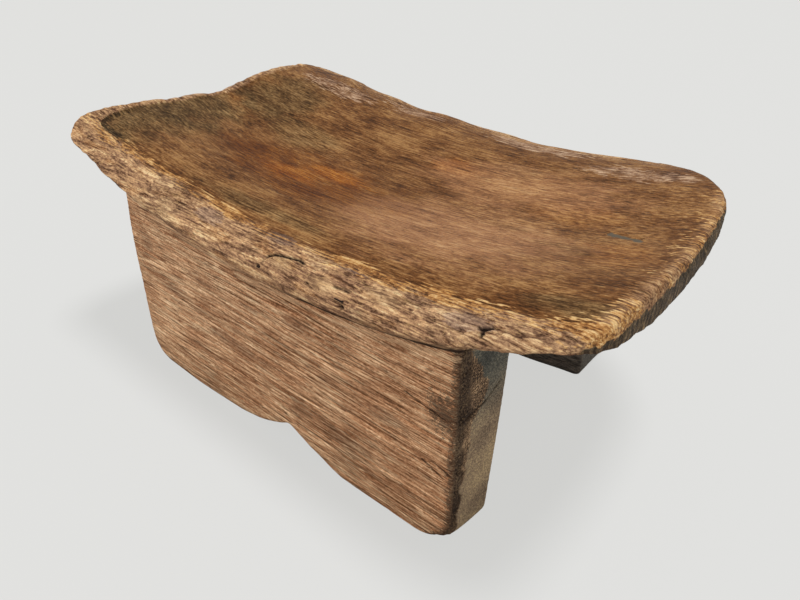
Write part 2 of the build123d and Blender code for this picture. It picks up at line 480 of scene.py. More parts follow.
def weave_leg(name, left, right, feet, inner_feet, foot_thickness, swell, columns, rows):
    """A leg's slab, outer face towards -Y. feet are the radii of its left and right foot, outside and in."""
    half_width, middle = (left + right) / 2, (right - left) / 2
    half_height = net_height / 2
    u, v = net_axes(columns, rows)
    rounding, across_steps = 6, 18
    band_steps = 2 * rounding + across_steps
    faces, ring = net_faces(columns, rows, band_steps)
    ring_u, ring_v = u[ring], v[ring]
    layers, notes = [], []

    def lay(u, v, inset, across, height_to_y):
        swing = across**0.35
        pairs = zip((-1, 1), feet, inner_feet)
        radii = {(side, -1): near + (far - near) * swing for side, near, far in pairs}
        flat_x, flat_z = rounded_grid(u, v, half_width, half_height, radii, inset)
        distance = edge_distance(flat_x, flat_z, half_width, half_height, radii)
        share = (flat_z + half_height) / net_height
        x = flat_x + middle
        seam = underside_at(x)
        z = notch(x) * (1 - share) ** 1.5 + (seam + tongue_height) * share
        to_left = 1 - (flat_x / half_width + 1) / 2
        lean = left_lean * share**2 + left_hollow * (1 - np.sin(np.pi * share))
        x = x + (lean + left_head * smooth_step(share, 0.7, 1.0)) * to_left**2
        bulge = swell * hump(x, 105, 95) * (1 - rise(z, 10, 90)) * across
        layers.append(np.stack([x, height_to_y(z) + bulge, z], -1))
        notes.append(np.stack([distance, seam - z, 0 * x + across], -1))

    def inner_face(z):
        lean = (leg_thickness - foot_thickness) * np.clip(z / underside_height, 0, 1)
        return -leg_face + foot_thickness + lean

    lay(u, v, arris_rounding, 0, lambda z: -leg_face + 0 * z)
    for step in range(1, band_steps + 1):
        near_turn = radians(90) * min(step / rounding, 1)
        far_turn = radians(90) * min((band_steps + 1 - step) / (rounding + 1), 1)
        turn = min(near_turn, far_turn)
        part = min(max((step - rounding) / (across_steps + 1), 0), 1)
        near_y = -leg_face + arris_rounding * (1 - np.cos(near_turn))
        inset = arris_rounding * (1 - np.sin(turn))

        def depth(z):
            far_y = inner_face(z) - arris_rounding * (1 - np.cos(far_turn))
            return near_y + (far_y - near_y) * part

        lay(ring_u, ring_v, inset, part, depth)
    lay(u, v, arris_rounding, 1, inner_face)
    points = np.concatenate(layers)
    return make_object(name, points, faces), points, np.concatenate(notes), u.size


# %% Weave the legs
front_leg, front_points, front_notes, front_face_count = weave_leg(
    "worn_front_leg", 216 * mm, 219 * mm, (27 * mm, 41 * mm), (24 * mm, 13 * mm), 57 * mm, 0, 190, 230
)
rear_leg, rear_points, rear_notes, _ = weave_leg(
    "worn_rear_leg", 190 * mm, 195.5 * mm, (22 * mm, 8 * mm), (22 * mm, 10 * mm), 66 * mm, 11 * mm, 110, 150
)
print("front leg net:", len(front_leg.data.polygons), "faces")

# %% [markdown]
# ## Carving
# Each point moves in or out along the direction that its surface faces, by a depth that sums up several
# marks: tool facets as wide as a hand, weathered grain, fray and chips. The result may not leave the box of
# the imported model, so the last step holds every point inside it.

# %% Carving tools
box_low, box_high = (np.array(corner) for corner in cad_box)


def carve(made, points, depth):
    """Moves each point inwards along its normal by its depth."""
    moved = points - outward(made) * depth[:, None]
    moved = np.clip(moved, box_low, box_high)
    made.data.vertices.foreach_set("co", moved.astype(np.float32).ravel())
    made.data.update()
    print(made.name, "carved from", round(depth.min() / mm, 1), "to", round(depth.max() / mm, 1), "mm deep")


def weathered_grain(points, seed):
    """Depth of weathered ridges, from 0 on a ridge to 1 in a valley."""
    sway = mottle(points, (0.11, 0.05, 0.035), seed, 2) * 3.0 * mm
    moved = points + np.stack([0 * sway, sway, sway], -1)
    broad = mottle(moved, (0.16, 0.009, 0.0050), seed + 10, 1)
    fine = mottle(moved, (0.06, 0.0045, 0.0023), seed + 20, 1)
    return np.clip(0.5 + 0.25 * broad + 0.75 * fine, 0, 1)


def crack(points, path, width, seed):
    """1 on a thin ragged line through the given places, 0 beyond its width."""
    stray = mottle(points, (0.006, 0.004, 0.004), seed, 2) * width * 0.5
    nearest = np.full(len(points), 1.0)
    for start, stop in zip(path[:-1], path[1:]):
        start, stop = np.array(start) * mm, np.array(stop) * mm
        along = np.clip((points - start) @ (stop - start) / np.sum((stop - start) ** 2), 0, 1)
        away = points - start - along[:, None] * (stop - start)
        nearest = np.minimum(nearest, np.linalg.norm(away, axis=1))
    return 1 - smooth_step(nearest + stray, 0.25 * width, width)


def stain(points, centre, reach, seed, raggedness=0.45):
    """1 inside a ragged oval patch round a place in millimetres, 0 outside."""
    away = np.linalg.norm((points / mm - np.array(centre)) / np.array(reach), axis=1)
    away = away + raggedness * mottle(points, (0.030, 0.012, 0.012), seed, 3)
    return 1 - smooth_step(away, 0.45, 1.15)


# %% [markdown]
# ## Carving the legs
# The slabs were split and adzed along the grain, and the soft wood between the fibres has weathered away.
# So long, slightly wavy ridges run along X. End faces show no ridges: there the fibres are cut across.

# %% Carve the legs
def weather_leg(made, points, notes, seed, marks):
    """Carves a leg, and keeps what its finish has to know."""
    edge, below_seam, across = notes.T
    grain = weathered_grain(points, seed)
    normals = outward(made)
    end_face = smooth_step(np.abs(normals[:, 0]), 0.6, 0.92)
    facets = mottle(points, (0.08, 0.05, 0.045), seed + 30, 2)
    right_side = rise(points[:, 0], 180, 205)
    ragged = across + 0.10 * mottle(points, (0.02, 0.014, 0.010), seed + 50, 2)
    outer_edge = (1 - rise(edge, 0, 12)) * (1 - smooth_step(ragged, 0.04, 0.20))
    low = 1 - rise(points[:, 2], 0, 120)
    tilt = low * (1.4 * np.clip(points[:, 0] / (200 * mm), -1, 1) - 1.6 * hump(points[:, 0], -130, 80))
    chips = smooth_step(mottle(points, (0.010, 0.007, 0.0055), seed + 40, 2), 0.0, 0.6)
    at_seam = np.exp(-np.abs(below_seam) / (2.2 * mm))
    calm = rise(edge, 1, 9)
    ridge_depth = 0.5 * (2 * grain - 1) * (1 - 0.85 * end_face) * (0.25 + 0.75 * calm)
    chip_depth = chips * outer_edge * (0.2 + 1.6 * right_side)
    depth = ridge_depth + 0.6 * facets + chip_depth + 0.4 * at_seam - 0.8 * (1 - end_face) + tilt
    depth = depth + 1.2 * marks["crack"]
    carve(made, points, depth * mm)
    bark_width = 0.14 + 0.42 * hump(points[:, 2], 168, 50) + 0.10 * hump(points[:, 2], 110, 40)
    charred = hump(points[:, 2], 158, 45) * right_side * (1 - smooth_step(ragged, 0.16, 0.34))
    keep_values(
        made,
        valley=grain,
        end_face=end_face,
        arris=np.maximum(outer_edge * (0.3 + 0.7 * right_side), 0.8 * charred),
        bark=end_face * (1 - smooth_step(ragged - bark_width, -0.14, 0.14)) * right_side,
        # painted shade: a dark line along the top of the leg, under the seat's edge
        seam=np.exp(-(np.maximum(below_seam / mm - 1.3, 0) / 1.5) ** 2),
        ledge=np.exp(-(((below_seam / mm - 7) / 2.5) ** 2)) * (1 - end_face),
        **marks,
    )


def front_leg_marks(points):
    """Cracks round the right-hand arris, and dark stains on the face."""
    paths = [
        [(168, -173, 158), (205, -174, 151), (219, -170, 149), (219, -140, 150), (219, -118, 158)],
        [(196, -174, 100), (214, -174, 96), (219, -168, 96)],
        [(186, -174, 96), (212, -174, 88), (219, -166, 89), (219, -158, 92)],
    ]
    cracks = sum(crack(points, path, 1.4 * mm, 90 + n) for n, path in enumerate(paths))
    spots = [(-140, 120, 26, 6), (-85, 150, 16, 4), (-15, 152, 15, 4), (45, 165, 26, 7), (40, 62, 18, 16)]
    spots += [(150, 120, 40, 8), (-60, 95, 45, 9), (100, 60, 34, 9), (-180, 170, 16, 20)]
    stained = sum(stain(points, (x, -173, z), (wide, 30, high), 95, 0.8) for x, z, wide, high in spots)
    return {"crack": cracks, "stain": stained}


no_marks = np.zeros(len(rear_points))
weather_leg(front_leg, front_points, front_notes, 3, front_leg_marks(front_points))
weather_leg(rear_leg, rear_points, rear_notes, 71, {"crack": no_marks, "stain": no_marks})

# %% [markdown]
# ## Carving the seat
# Years of sitting have polished the dish smooth, while the rim has dried out and frayed. So the same kind
# of grain is cut shallow in the middle and deep at the rim, and single marks are added by name: checks,
# nail pits, a gouge, and the dark notch where the dish runs into its front left corner.

# %% Zones of the seat
_, flat_x, flat_y = seat_notes.T
seat_x, seat_y, seat_z = seat_points.T
seat_normals = outward(seat)
facing_up = smooth_step(seat_normals[:, 2], -0.15, 0.35)
facing_down = smooth_step(-seat_normals[:, 2], 0.3, 0.7)
border_noise = mottle(seat_points, (0.035, 0.012, 0.012), 5, 3)


def from_side(distance, width, softness):
    """1 from a side of the seat up to a ragged border, 0 beyond it."""
    ragged = distance + 3.5 * mm * border_noise
    return 1 - smooth_step(ragged, (width - softness) * mm, (width + softness) * mm)


from_front, from_back = flat_y + half_depth, half_depth - flat_y
from_left, from_right = flat_x + half_length, half_length - flat_x
inner_radius = 24 * mm
past_front, past_left = from_front - 31 * mm, from_left - 13 * mm - 10 * mm * hump(seat_y, -150, 75)
short = np.maximum(inner_radius - past_front, 0), np.maximum(inner_radius - past_left, 0)
inside_corner = inner_radius - np.hypot(*short)
front_rim = from_side(from_front, 31, 3)
left_rim = from_side(inside_corner, 0, 3)
right_rim = 0.75 * from_side(from_right, 10, 7)
back_rim = from_side(from_back, 17, 9)
rim = np.max([front_rim, left_rim, right_rim, back_rim], axis=0)


def just_inside(start, full, fade):
    """1 in the dish along its front and left rims, fading towards its middle. Given in millimetres."""
    away = np.exp(-np.maximum(inside_corner, 0) / (fade * mm))
    return smooth_step(inside_corner, start * mm, full * mm) * away


print("rim share:", round(float(rim.mean()), 2))


# %% [markdown]
# ## Marks on the front rim
# A few marks are known one by one: checks in the wood, the pits over two nails, and lips of sound wood
# between them. They are drawn as ragged lines and patches through places on the rim, in millimetres.

# %% Marks on the front rim
def seat_marks(points):
    """Cracks, pits and lips, each 1 at its middle."""
    crescent = [(24, -182, 219), (27, -178, 224), (33, -175, 227), (44, -173, 228)]
    crescent += [(57, -170, 229), (66, -172, 228)]
    paths = [
        (crescent, 2.1),
        ([(76, -183, 223), (82, -184, 222), (89, -185, 222)], 2.0),
        ([(104, -179, 228), (112, -178, 229), (120, -178, 229)], 1.3),
        ([(148, -174, 233), (158, -173, 234), (168, -172, 236)], 1.3),
        ([(231.5, -172, 245.4), (237, -169.5, 247.6)], 2.2),
        ([(233.5, -171, 246.4), (235, -176, 243.4)], 2.0),
    ]
    cracks = sum(crack(points, path, width * mm, 120 + n) for n, (path, width) in enumerate(paths))
    holes = [(20, -185, 217), (116, -185, 217.5)]
    pits = sum(crack(points, [hole, np.add(hole, (2, 0, 0.5))], 2.8 * mm, 140) for hole in holes)
    sound = [
        ((45, -176, 224), (19, 9, 5)),
        ((92, -178, 224), (20, 9, 5)),
        ((150, -172, 233), (24, 9, 6)),
        ((-117, -181, 226), (12, 12, 10)),
    ]
    lips = sum(stain(points, centre, reach, 150, 0.15) for centre, reach in sound)
    return np.clip(cracks, 0, 1), np.clip(pits, 0, 1), np.clip(lips, 0, 1)


cracks, pits, lips = seat_marks(seat_points)
print("points in cracks and pits:", int((cracks + pits > 0.5).sum()))

# %% Carve the seat
def weather_seat():
    """Carves the seat: grain and fray on the rim, a smooth dish, and the marks."""
    points = seat_points
    grain = weathered_grain(points, 201)
    fray = mottle(points, (0.030, 0.0040, 0.0040), 41, 2)
    lumps = mottle(points, (0.045, 0.014, 0.012), 51, 2)
    facets = mottle(points, (0.075, 0.05, 0.2), 61, 2)
    scaly = smooth_step(mottle(points, (0.060, 0.030, 0.020), 71, 2), -0.15, 0.35)
    flakes = smooth_step(mottle(points, (0.026, 0.0075, 0.0075), 72, 2), -0.08, 0.08)
    flakes = flakes + smooth_step(mottle(points, (0.020, 0.006, 0.006), 73, 2), -0.06, 0.06)
    comb = 0.7 * mottle(points, (0.016, 0.0042, 0.0060), 81, 2)
    comb = comb + 0.9 * mottle(points, (0.025, 0.013, 0.02), 82, 2)
    end_fray = np.exp(-from_right / (12 * mm)) * facing_up
    corner = stain(points, (-262, -134, 258), (62, 44, 60), 7, 0.3)
    notch_depth = 1.8 * corner * just_inside(-2, 7, 38)
    step = 0.8 * just_inside(-3, 5, 25)
    depth = 0.16 * (2 * grain - 1) + 0.6 * facets * (1 - facing_down) + notch_depth + step
    flaking = 0.9 * (flakes - 1) * (0.2 + 0.8 * scaly * front_rim)
    depth = depth + rim * (0.25 * (2 * grain - 1) + 0.35 * fray + 0.5 * lumps + flaking)
    depth = depth + end_fray * (0.9 * comb + 0.3)
    gouge = crack(points, [(236, 4, 243.8), (250, 1, 246.9), (263, -3, 249.6)], 4.5 * mm, 160)
    depth = depth + 1.6 * cracks + 2.6 * pits - 1.1 * lips + 1.2 * gouge
    depth = depth - 0.9 * (1 - facing_down)
    carve(seat, points, depth * mm)
    valley = 0.5 + 0.5 * (grain - 0.5) + 0.3 * rim * fray
    keep_values(seat, valley=valley, scaly=scaly * front_rim, flake=flakes / 2, gouge=gouge)


weather_seat()

# %% [markdown]
# ## Staining the seat
# Skin and dust have coloured the wood in patches, each with its own ragged border; a few patches are painted
# light and shade instead: a sheen, a glint, and shade in a notch, on faces that turn down and low on the
# right end. A patch is an oval blown apart by noise. Its strength is kept on the points, and the finish
# later turns it into a colour.

# %% Stain the seat
def stains(*spots, depth=60):
    """Adds up ragged patches, each given by its strength, centre, half sizes and seed."""
    total = 0
    for strength, centre, reach, seed in spots:
        total = total + strength * stain(seat_points, centre, (*reach, depth), seed)
    return total


def stain_dish():
    """The warm and dark patches of the dish, and a rosy painted sheen right of its middle."""
    amber = stains((1, (-65, -50, 225), (165, 66), 11), (0.6, (-250, 25, 250), (40, 30), 12))
    ember = stains(
        (1, (-52, -24, 225), (44, 18), 13),
        (0.9, (-84, -57, 230), (42, 22), 36),
        (0.3, (255, -40, 240), (40, 28), 41),
        (0.25, (190, 30, 240), (50, 24), 42),
        (0.9, (36, 67, 225), (36, 18), 15),
        (0.7, (61, -54, 225), (14, 7), 16),
    )
    dusk = stains(
        (1, (-278, -70, 255), (80, 125), 17),
        (0.8, (-225, 70, 250), (60, 60), 18),
        (0.8, (282, -132, 255), (40, 16), 19),
        (0.7, (-35, -136, 230), (100, 12), 20),
        (0.75, (100, 85, 232), (32, 14), 37),
        (0.6, (157, -19, 236), (30, 9), 38),
        (0.7, (215, -45, 240), (40, 16), 39),
        (0.6, (-150, 25, 235), (60, 28), 40),
    )
    # painted sheen: the rubbed dish right of its middle is lightened to a rosy tone, as if it reflected the
    # room
    rose = stain(seat_points, (125, -62, 235), (130, 78, 60), 21, 0.3)
    rose = rose + 0.7 * stain(seat_points, (120, 60, 235), (130, 50, 60), 22)
    keep_values(seat, amber=amber, ember=ember, dusk=dusk * (1 - front_rim), rose=rose)


def stain_rim():
    """The rim's pale, grey and golden places, a painted glint, painted shade in a notch, a stain, and marks.
    """
    scuffed = stains(
        (1, (-190, 136, 240), (70, 18), 23),
        (1, (80, 150, 235), (80, 14), 24),
        (1, (205, 122, 245), (60, 18), 25),
        (0.7, (-90, 150, 235), (60, 16), 26),
    )
    chipped = 0.6 * hump(seat_y, -50, 12) + hump(seat_y, -24, 20) + hump(seat_y, 32, 18)
    chipped = chipped * (1 - rise(from_left, 4, 12)) * facing_up
    lilac = stains(
        (1, (23, -160, 233), (20, 7), 28),
        (1, (219, -170, 245), (26, 9), 29),
        (1, (110, -160, 233), (22, 6), 30),
        (1, (-60, -170, 232), (24, 9), 31),
        depth=20,
    )
    # the golden band along the front crest is partly worn golden wood and partly a painted glint
    crest = np.exp(-(((from_front + 6 * mm * border_noise) / mm - 29) / 6.5) ** 2)
    gold = crest * (0.5 + 0.5 * smooth_step(mottle(seat_points, (0.05, 0.02, 0.02), 32, 2), -0.3, 0.3))
    chunks = smooth_step(mottle(seat_points, (0.030, 0.013, 0.03), 35, 2), -0.4, 0.1)
    gold = gold * (1 - facing_down) + 0.8 * np.exp(-from_right / (13 * mm)) * facing_up * chunks
    # painted shade in the notch where the dish runs into its front left corner, and a faint stain by the
    # left nail
    soot = 0.9 * stain(seat_points, (-262, -134, 258), (44, 40, 60), 33, 0.3) * just_inside(-2, 2, 14)
    soot = soot + 0.2 * stain(seat_points, (-118, -181, 226), (24, 10, 10), 34)
    keep_values(seat, rim=rim, pale=0.7 * scuffed + 1.6 * chipped, lilac=lilac, gold=gold, soot=soot)
    keep_values(seat, hole=cracks + pits, plate=lips * (1 - cracks) * (1 - pits))


def paint_shade_and_underside():
    """Painted shade on down-turned faces and low on the right end, and the raw underside hands seldom reach.
    """
    # painted shade: faces that turn downwards, but not the underside
    low = smooth_step(-seat_normals[:, 2], -0.15, 0.35) * (1 - facing_down)
    level = (seat_z - underside_at(seat_x)) / (crest_at(seat_x) - underside_at(seat_x))
    fringe = 0.18 * mottle(seat_points, (0.008, 0.004, 0.02), 43, 2)
    side = smooth_step(seat_normals[:, 0] + 0.5 * fringe, 0.5, 0.8)
    side = side * (1 - smooth_step(level + fringe, 0.5, 0.8))
    keep_values(seat, shade_side=side, low=low, under=facing_down)


stain_dish()
stain_rim()
paint_shade_and_underside()

# %% [markdown]
# ## Finishes
# All three slabs are the same kind of wood, but each surface has its own history. The grain is solid: it
# runs through the slab along X, so end faces show it as dots. A flat picture would stretch over the carved
# points, so each finish is a tree of nodes that reads the place on the piece and the values kept there.

# %% Helpers for finishes
def tint(code):
    """A colour as it looks, such as #9E7556, as light values."""
    parts = [int(code[i : i + 2], 16) / 255 for i in (1, 3, 5)]
    return (*[((p + 0.055) / 1.055) ** 2.4 if p > 0.04045 else p / 12.92 for p in parts], 1.0)


def feed(tree, node, inputs):
    """Sets a node's inputs, or links them where the value comes from another node."""
    for name, value in inputs.items():
        if isinstance(value, bpy.types.NodeSocket):
            tree.links.new(value, node.inputs[name])
        else:
            node.inputs[name].default_value = value


def add(tree, kind, inputs=(), **settings):
    """Adds a node and feeds it."""
    made = tree.nodes.new("ShaderNode" + kind)
    for name, value in settings.items():
        setattr(made, name, value)
    feed(tree, made, dict(inputs))
    return made


def reckon(tree, operation, *values):
    """One step of arithmetic on up to three values."""
    return add(tree, "Math", enumerate(values), operation=operation).outputs[0]


def times(tree, first, second):
    """The product of two values."""
    return reckon(tree, "MULTIPLY", first, second)


def line(tree, value, slope, start):
    """A straight line: the start plus the value times the slope."""
    return reckon(tree, "MULTIPLY_ADD", value, slope, start)


def noise(tree, place, size, detail=2.0, roughness=0.5):
    """Noise whose blobs have the given size, in metres, along X, Y and Z."""
    scaled = add(tree, "VectorMath", {0: place, 1: size}, operation="DIVIDE").outputs[0]
    inputs = {"Vector": scaled, "Scale": 1.0, "Detail": detail, "Roughness": roughness}
    return add(tree, "TexNoise", inputs).outputs["Fac"]


def between(tree, value, low, high):
    """0 below low, 1 above high."""
    inputs = {"Value": value, "From Min": low, "From Max": high}
    return add(tree, "MapRange", inputs, interpolation_type="SMOOTHSTEP").outputs[0]


def threads(tree, place, size, width):
    """1 on thin wandering lines, 0 between them."""
    away = reckon(tree, "ABSOLUTE", reckon(tree, "SUBTRACT", noise(tree, place, size, 1.0), 0.5))
    return between(tree, away, width, width * 0.2)


def layered(tree, *layers, middle=0.5):
    """The middle value plus each layer times its weight; a layer of 0.5 changes nothing."""
    total = middle - sum(weight for _, weight in layers) / 2
    for value, weight in layers:
        total = line(tree, value, weight, total)
    return total


def blend(tree, share, base, top, strength=1.0):
    """Lays a colour over another one, as strongly as its share and its strength say."""
    if isinstance(top, str):
        top = tint(top)
    if strength < 1:
        share = times(tree, share, strength)
    return add(tree, "Mix", {0: share, 6: base, 7: top}, data_type="RGBA").outputs[2]


def cover(tree, colour, *coats):
    """Lays colours over one another: each coat has its share, its colour and at times its strength."""
    for share, top, *strength in coats:
        colour = blend(tree, share, colour, top, *strength)
    return colour


usual_places = {3: (0.0, 0.5, 1.0), 4: (0.0, 0.3, 0.6, 1.0), 5: (0.0, 0.25, 0.5, 0.76, 1.0)}


def tones(tree, value, codes, places=None):
    """A run of colours along a value, at the usual places unless others are given."""
    codes = codes.split()
    made = add(tree, "ValToRGB", {"Fac": value})
    ramp = made.color_ramp
    while len(ramp.elements) < len(codes):
        ramp.elements.new(1.0)
    for element, place, code in zip(ramp.elements, places or usual_places[len(codes)], codes):
        element.position = place
        element.color = tint(code)
    return made.outputs["Color"]


def kept(tree, name):
    """A value that was stored on the points."""
    return add(tree, "Attribute", attribute_name=name).outputs["Fac"]


def broken(tree, name, crumbs, spread):
    """A kept patch, broken up into crumbs with crisp borders. Outside the patch nothing shows."""
    patch = kept(tree, name)
    crumbled = between(tree, layered(tree, (patch, 1.0), (crumbs, spread)), 0.42, 0.62)
    return times(tree, crumbled, between(tree, patch, 0.0, 0.2))


def new_finish(name):
    """An empty material, its node tree, its shader and the place on the piece."""
    material = bpy.data.materials.new(name)
    material.use_nodes = True
    tree = material.node_tree
    shader = tree.nodes["Principled BSDF"]
    place = add(tree, "TexCoord").outputs["Object"]
    return material, tree, shader, place


def coat(tree, shader, colour, rough, gloss, height, strength=1.0, relief=1.2 * mm):
    """Gives the shader its colour, roughness, gloss and a fine bump."""
    bump = add(tree, "Bump", {"Height": height, "Strength": strength, "Distance": relief}).outputs[0]
    inputs = {"Base Color": colour, "Roughness": rough, "Specular IOR Level": gloss, "Normal": bump}
    feed(tree, shader, inputs)


def swayed(tree, place, size, amount):
    """The place pushed a little across the grain, so that straight streaks wave."""
    sway = layered(tree, (noise(tree, place, size), amount), middle=0.0)
    shift = add(tree, "CombineXYZ", {"Y": sway, "Z": sway}).outputs[0]
    return add(tree, "VectorMath", {0: place, 1: shift}, operation="ADD").outputs[0]


# %% [markdown]
# ## Leg wood
# The legs are dry and tan, with long fibres that sun and damp have opened. Plain noise looks like cloud, so
# it is drawn out thirty times along the grain, and thin dark and pale lines run through it. The cut ends
# have only grit, with bark along their outer edge, and turn darker and greyer high up under the seat, partly
# weathered grey and partly painted shade. Painted shade also greys the rear leg away from its outer face
# and draws a dark line along the seam under the seat.

# %% Wood of the leg's ends
def end_wood(tree, height, patches, dashes, grit):
    """The colour of the cut ends."""
    tone = layered(tree, (grit, 2.2), (patches, 1.2), (dashes, 0.5))
    light = tones(tree, tone, "#74614F #A68D70 #D8BA8C")
    # darker and greyer high up under the seat: partly weathered grey wood, partly painted shade
    dark = tones(tree, tone, "#42423C #69665B #9A9079")
    bark = tones(tree, tone, "#251D17 #5C4837 #957659 #DDB88C", (0.1, 0.4, 0.6, 0.9))
    colour = blend(tree, between(tree, height, 0.11, 0.18), light, dark)
    return blend(tree, broken(tree, "bark", grit, 1.2), colour, bark)


# %% Leg wood
def leg_wood():
    """The colour, roughness and bump of both legs."""
    material, tree, shader, place = new_finish("dry leg wood")
    along, depth, height = add(tree, "SeparateXYZ", {0: place}).outputs
    waved = swayed(tree, place, (0.16, 0.06, 0.05), 0.007)
    fibres = noise(tree, waved, (0.045, 0.0016, 0.0013), 2.0, 0.6)
    streaks = noise(tree, waved, (0.16, 0.011, 0.008), 3.0)
    strong = between(tree, noise(tree, place, (0.12, 0.06, 0.045)), 0.35, 0.65)
    patches = noise(tree, place, (0.07, 0.05, 0.03), 3.0)
    grit = noise(tree, place, (0.0026, 0.0017, 0.0017), 2.0, 0.7)
    dashes = noise(tree, waved, (0.009, 0.0022, 0.0018), 2.0, 0.6)
    dark_lines = threads(tree, waved, (0.10, 0.0036, 0.0029), 0.030)
    pale_lines = threads(tree, waved, (0.10, 0.0032, 0.0026), 0.036)
    to_left = between(tree, along, 0.21, -0.21)
    layers = (to_left, 0.10), (fibres, 2.1), (streaks, 0.3), (patches, 0.8), (grit, 1.2), (dashes, 0.5)
    tone = layered(tree, *layers, (kept(tree, "valley"), -0.2))
    colour = tones(tree, tone, "#5E3B22 #8E6040 #B2815C #D1A37A #F2CEA4")
    drawn = line(tree, strong, 0.45, 0.4)
    # painted shade: the rear leg turns grey on all but its outer face, as it stands in shade under the seat
    in_painted_shade = times(tree, between(tree, depth, 0.02, 0.05), between(tree, depth, 0.171, 0.166))
    grey = tones(tree, tone, "#504D48 #767168 #948C80")
    colour = cover(
        tree,
        colour,
        (times(tree, dark_lines, drawn), "#5A3B26"),
        (times(tree, pale_lines, drawn), "#EBC69B"),
        (between(tree, dashes, 0.40, 0.30), "#523524", 0.5),
        (broken(tree, "stain", fibres, 2.2), "#5B3E2C", 0.38),
        (kept(tree, "end_face"), end_wood(tree, height, patches, dashes, grit)),
        (broken(tree, "arris", grit, 2.6), "#30241C", 0.75),
        (broken(tree, "ledge", fibres, 3.0), "#E0B88E", 0.35),
        # painted shade along the seam under the seat's edge
        (between(tree, kept(tree, "seam"), 0.5, 0.9), "#3A2A1F"),
        (kept(tree, "crack"), "#2E2118"),
        # painted shade on the rear leg
        (in_painted_shade, grey, 0.9),
    )
    rough = layered(tree, (fibres, 0.5), middle=0.76)
    relief = layered(tree, (fibres, 1.0), (pale_lines, 0.5), (grit, 0.4), (dark_lines, -0.5))
    coat(tree, shader, colour, rough, 0.08, relief)
    return material


# %% [markdown]
# ## Seat wood
# The dish is dark and rubbed, and its patches of colour only change the tone of one grain. The rim is dry:
# its wood stands in pale splinters over dull brown, so it gets its own run of tones on a harsher grain.
# Each is made by itself, and then the values kept on the points lay one over the other.

# %% Wood of the dish
def dish_wood(tree, tone, patches, dark_lines, pale_lines):
    """The colour of the rubbed dish, with its rosy painted sheen."""
    colour = tones(tree, tone, "#34200F #57361B #774C28 #986D41 #B08453")
    zones = (
        ("amber", 1.0, "#391E0A #572E10 #704019 #8A5322 #A87132"),
        ("ember", 0.65, "#4C2208 #80400F #AC641F #DC9648"),
        ("dusk", 0.95, "#1C160D #43311B #5F472C #846843 #A1835A"),
        # painted sheen: a rosy, lighter tone in place of the dish's reflection
        ("rose", 0.85, "#623F29 #8C6141 #A6744F #BC8A60 #CDA073"),
    )
    for name, strength, codes in zones:
        colour = blend(tree, kept(tree, name), colour, tones(tree, tone, codes), strength)
    colour = blend(tree, dark_lines, colour, "#3A2210", 0.40)
    grouped = between(tree, patches, 0.38, 0.62)
    return blend(tree, times(tree, pale_lines, grouped), colour, "#CC9A60", 0.38)


# %% Wood of the rim
def rim_wood(tree, tone, slabs, dark_lines, pale_lines):
    """The colour of the dry rim."""
    colour = tones(tree, tone, "#553A28 #86624A #B08764 #DCAE80 #F8D8A4", (0.0, 0.22, 0.5, 0.8, 1.0))
    warm = tones(tree, tone, "#5E3E28 #9A6D49 #CB9A6C #F6D09E")
    dull = tones(tree, tone, "#433023 #755742 #A38062 #DEB88C")
    sound = tones(tree, tone, "#8A6A4E #BE9870 #DDB88C", (0.1, 0.5, 0.9))
    return cover(
        tree,
        colour,
        (between(tree, slabs, 0.50, 0.64), warm),
        (broken(tree, "scaly", slabs, 3.0), dull, 0.55),
        (kept(tree, "plate"), sound, 0.75),
        (pale_lines, "#E8BC80", 0.3),
        (dark_lines, "#4E3628", 0.5),
    )


